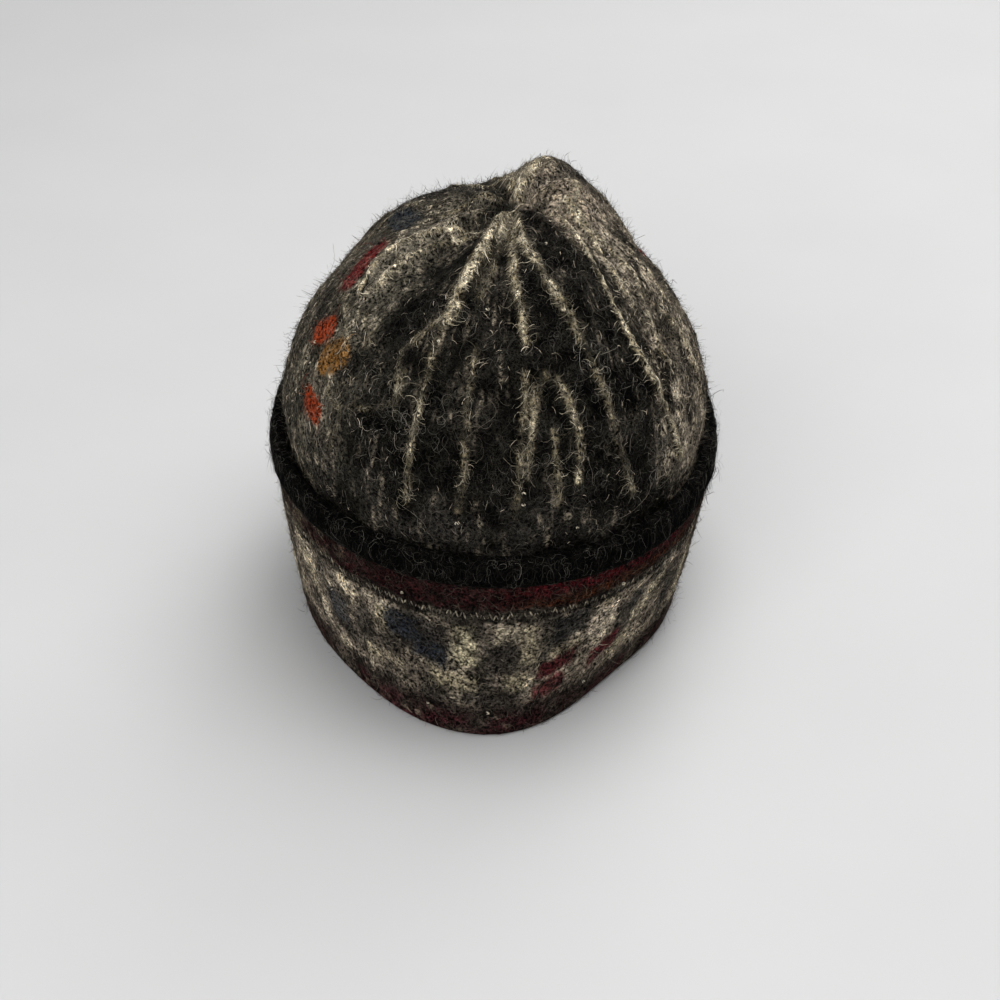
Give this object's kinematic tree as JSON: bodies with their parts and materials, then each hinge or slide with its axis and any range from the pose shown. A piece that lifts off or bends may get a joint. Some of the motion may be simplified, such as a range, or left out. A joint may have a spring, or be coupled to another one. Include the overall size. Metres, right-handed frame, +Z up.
{
  "type": "knitted wool beanie",
  "caption": "Knitted and fulled wool beanie: a hollow crown gathered to a point at the top, and a wide turned-up cuff with a thick rolled edge, standing on its bottom fold.",
  "frame": {"origin": "middle of the hat's footprint, on the surface that its bottom fold rests on", "axes": "+Z up, towards the gathered top; +Y towards the wearer's face; +X to the right in a view from the back"},
  "size_m": [0.1788, 0.2126, 0.1802],
  "materials": {
    "crown_wool": "fulled knit of charcoal and black marl wool with pale slubs, soft fuzz",
    "cuff_wool": "fulled knit of beige, charcoal, maroon and rust wool in stripes and blocks, soft fuzz",
    "edge_wool": "thick rolled edge of black fulled wool, soft fuzz"
  },
  "bodies": {
    "root": {"crown": "crown_wool", "cuff": "cuff_wool", "cuff_edge": "edge_wool"}
  },
  "joints": []
}
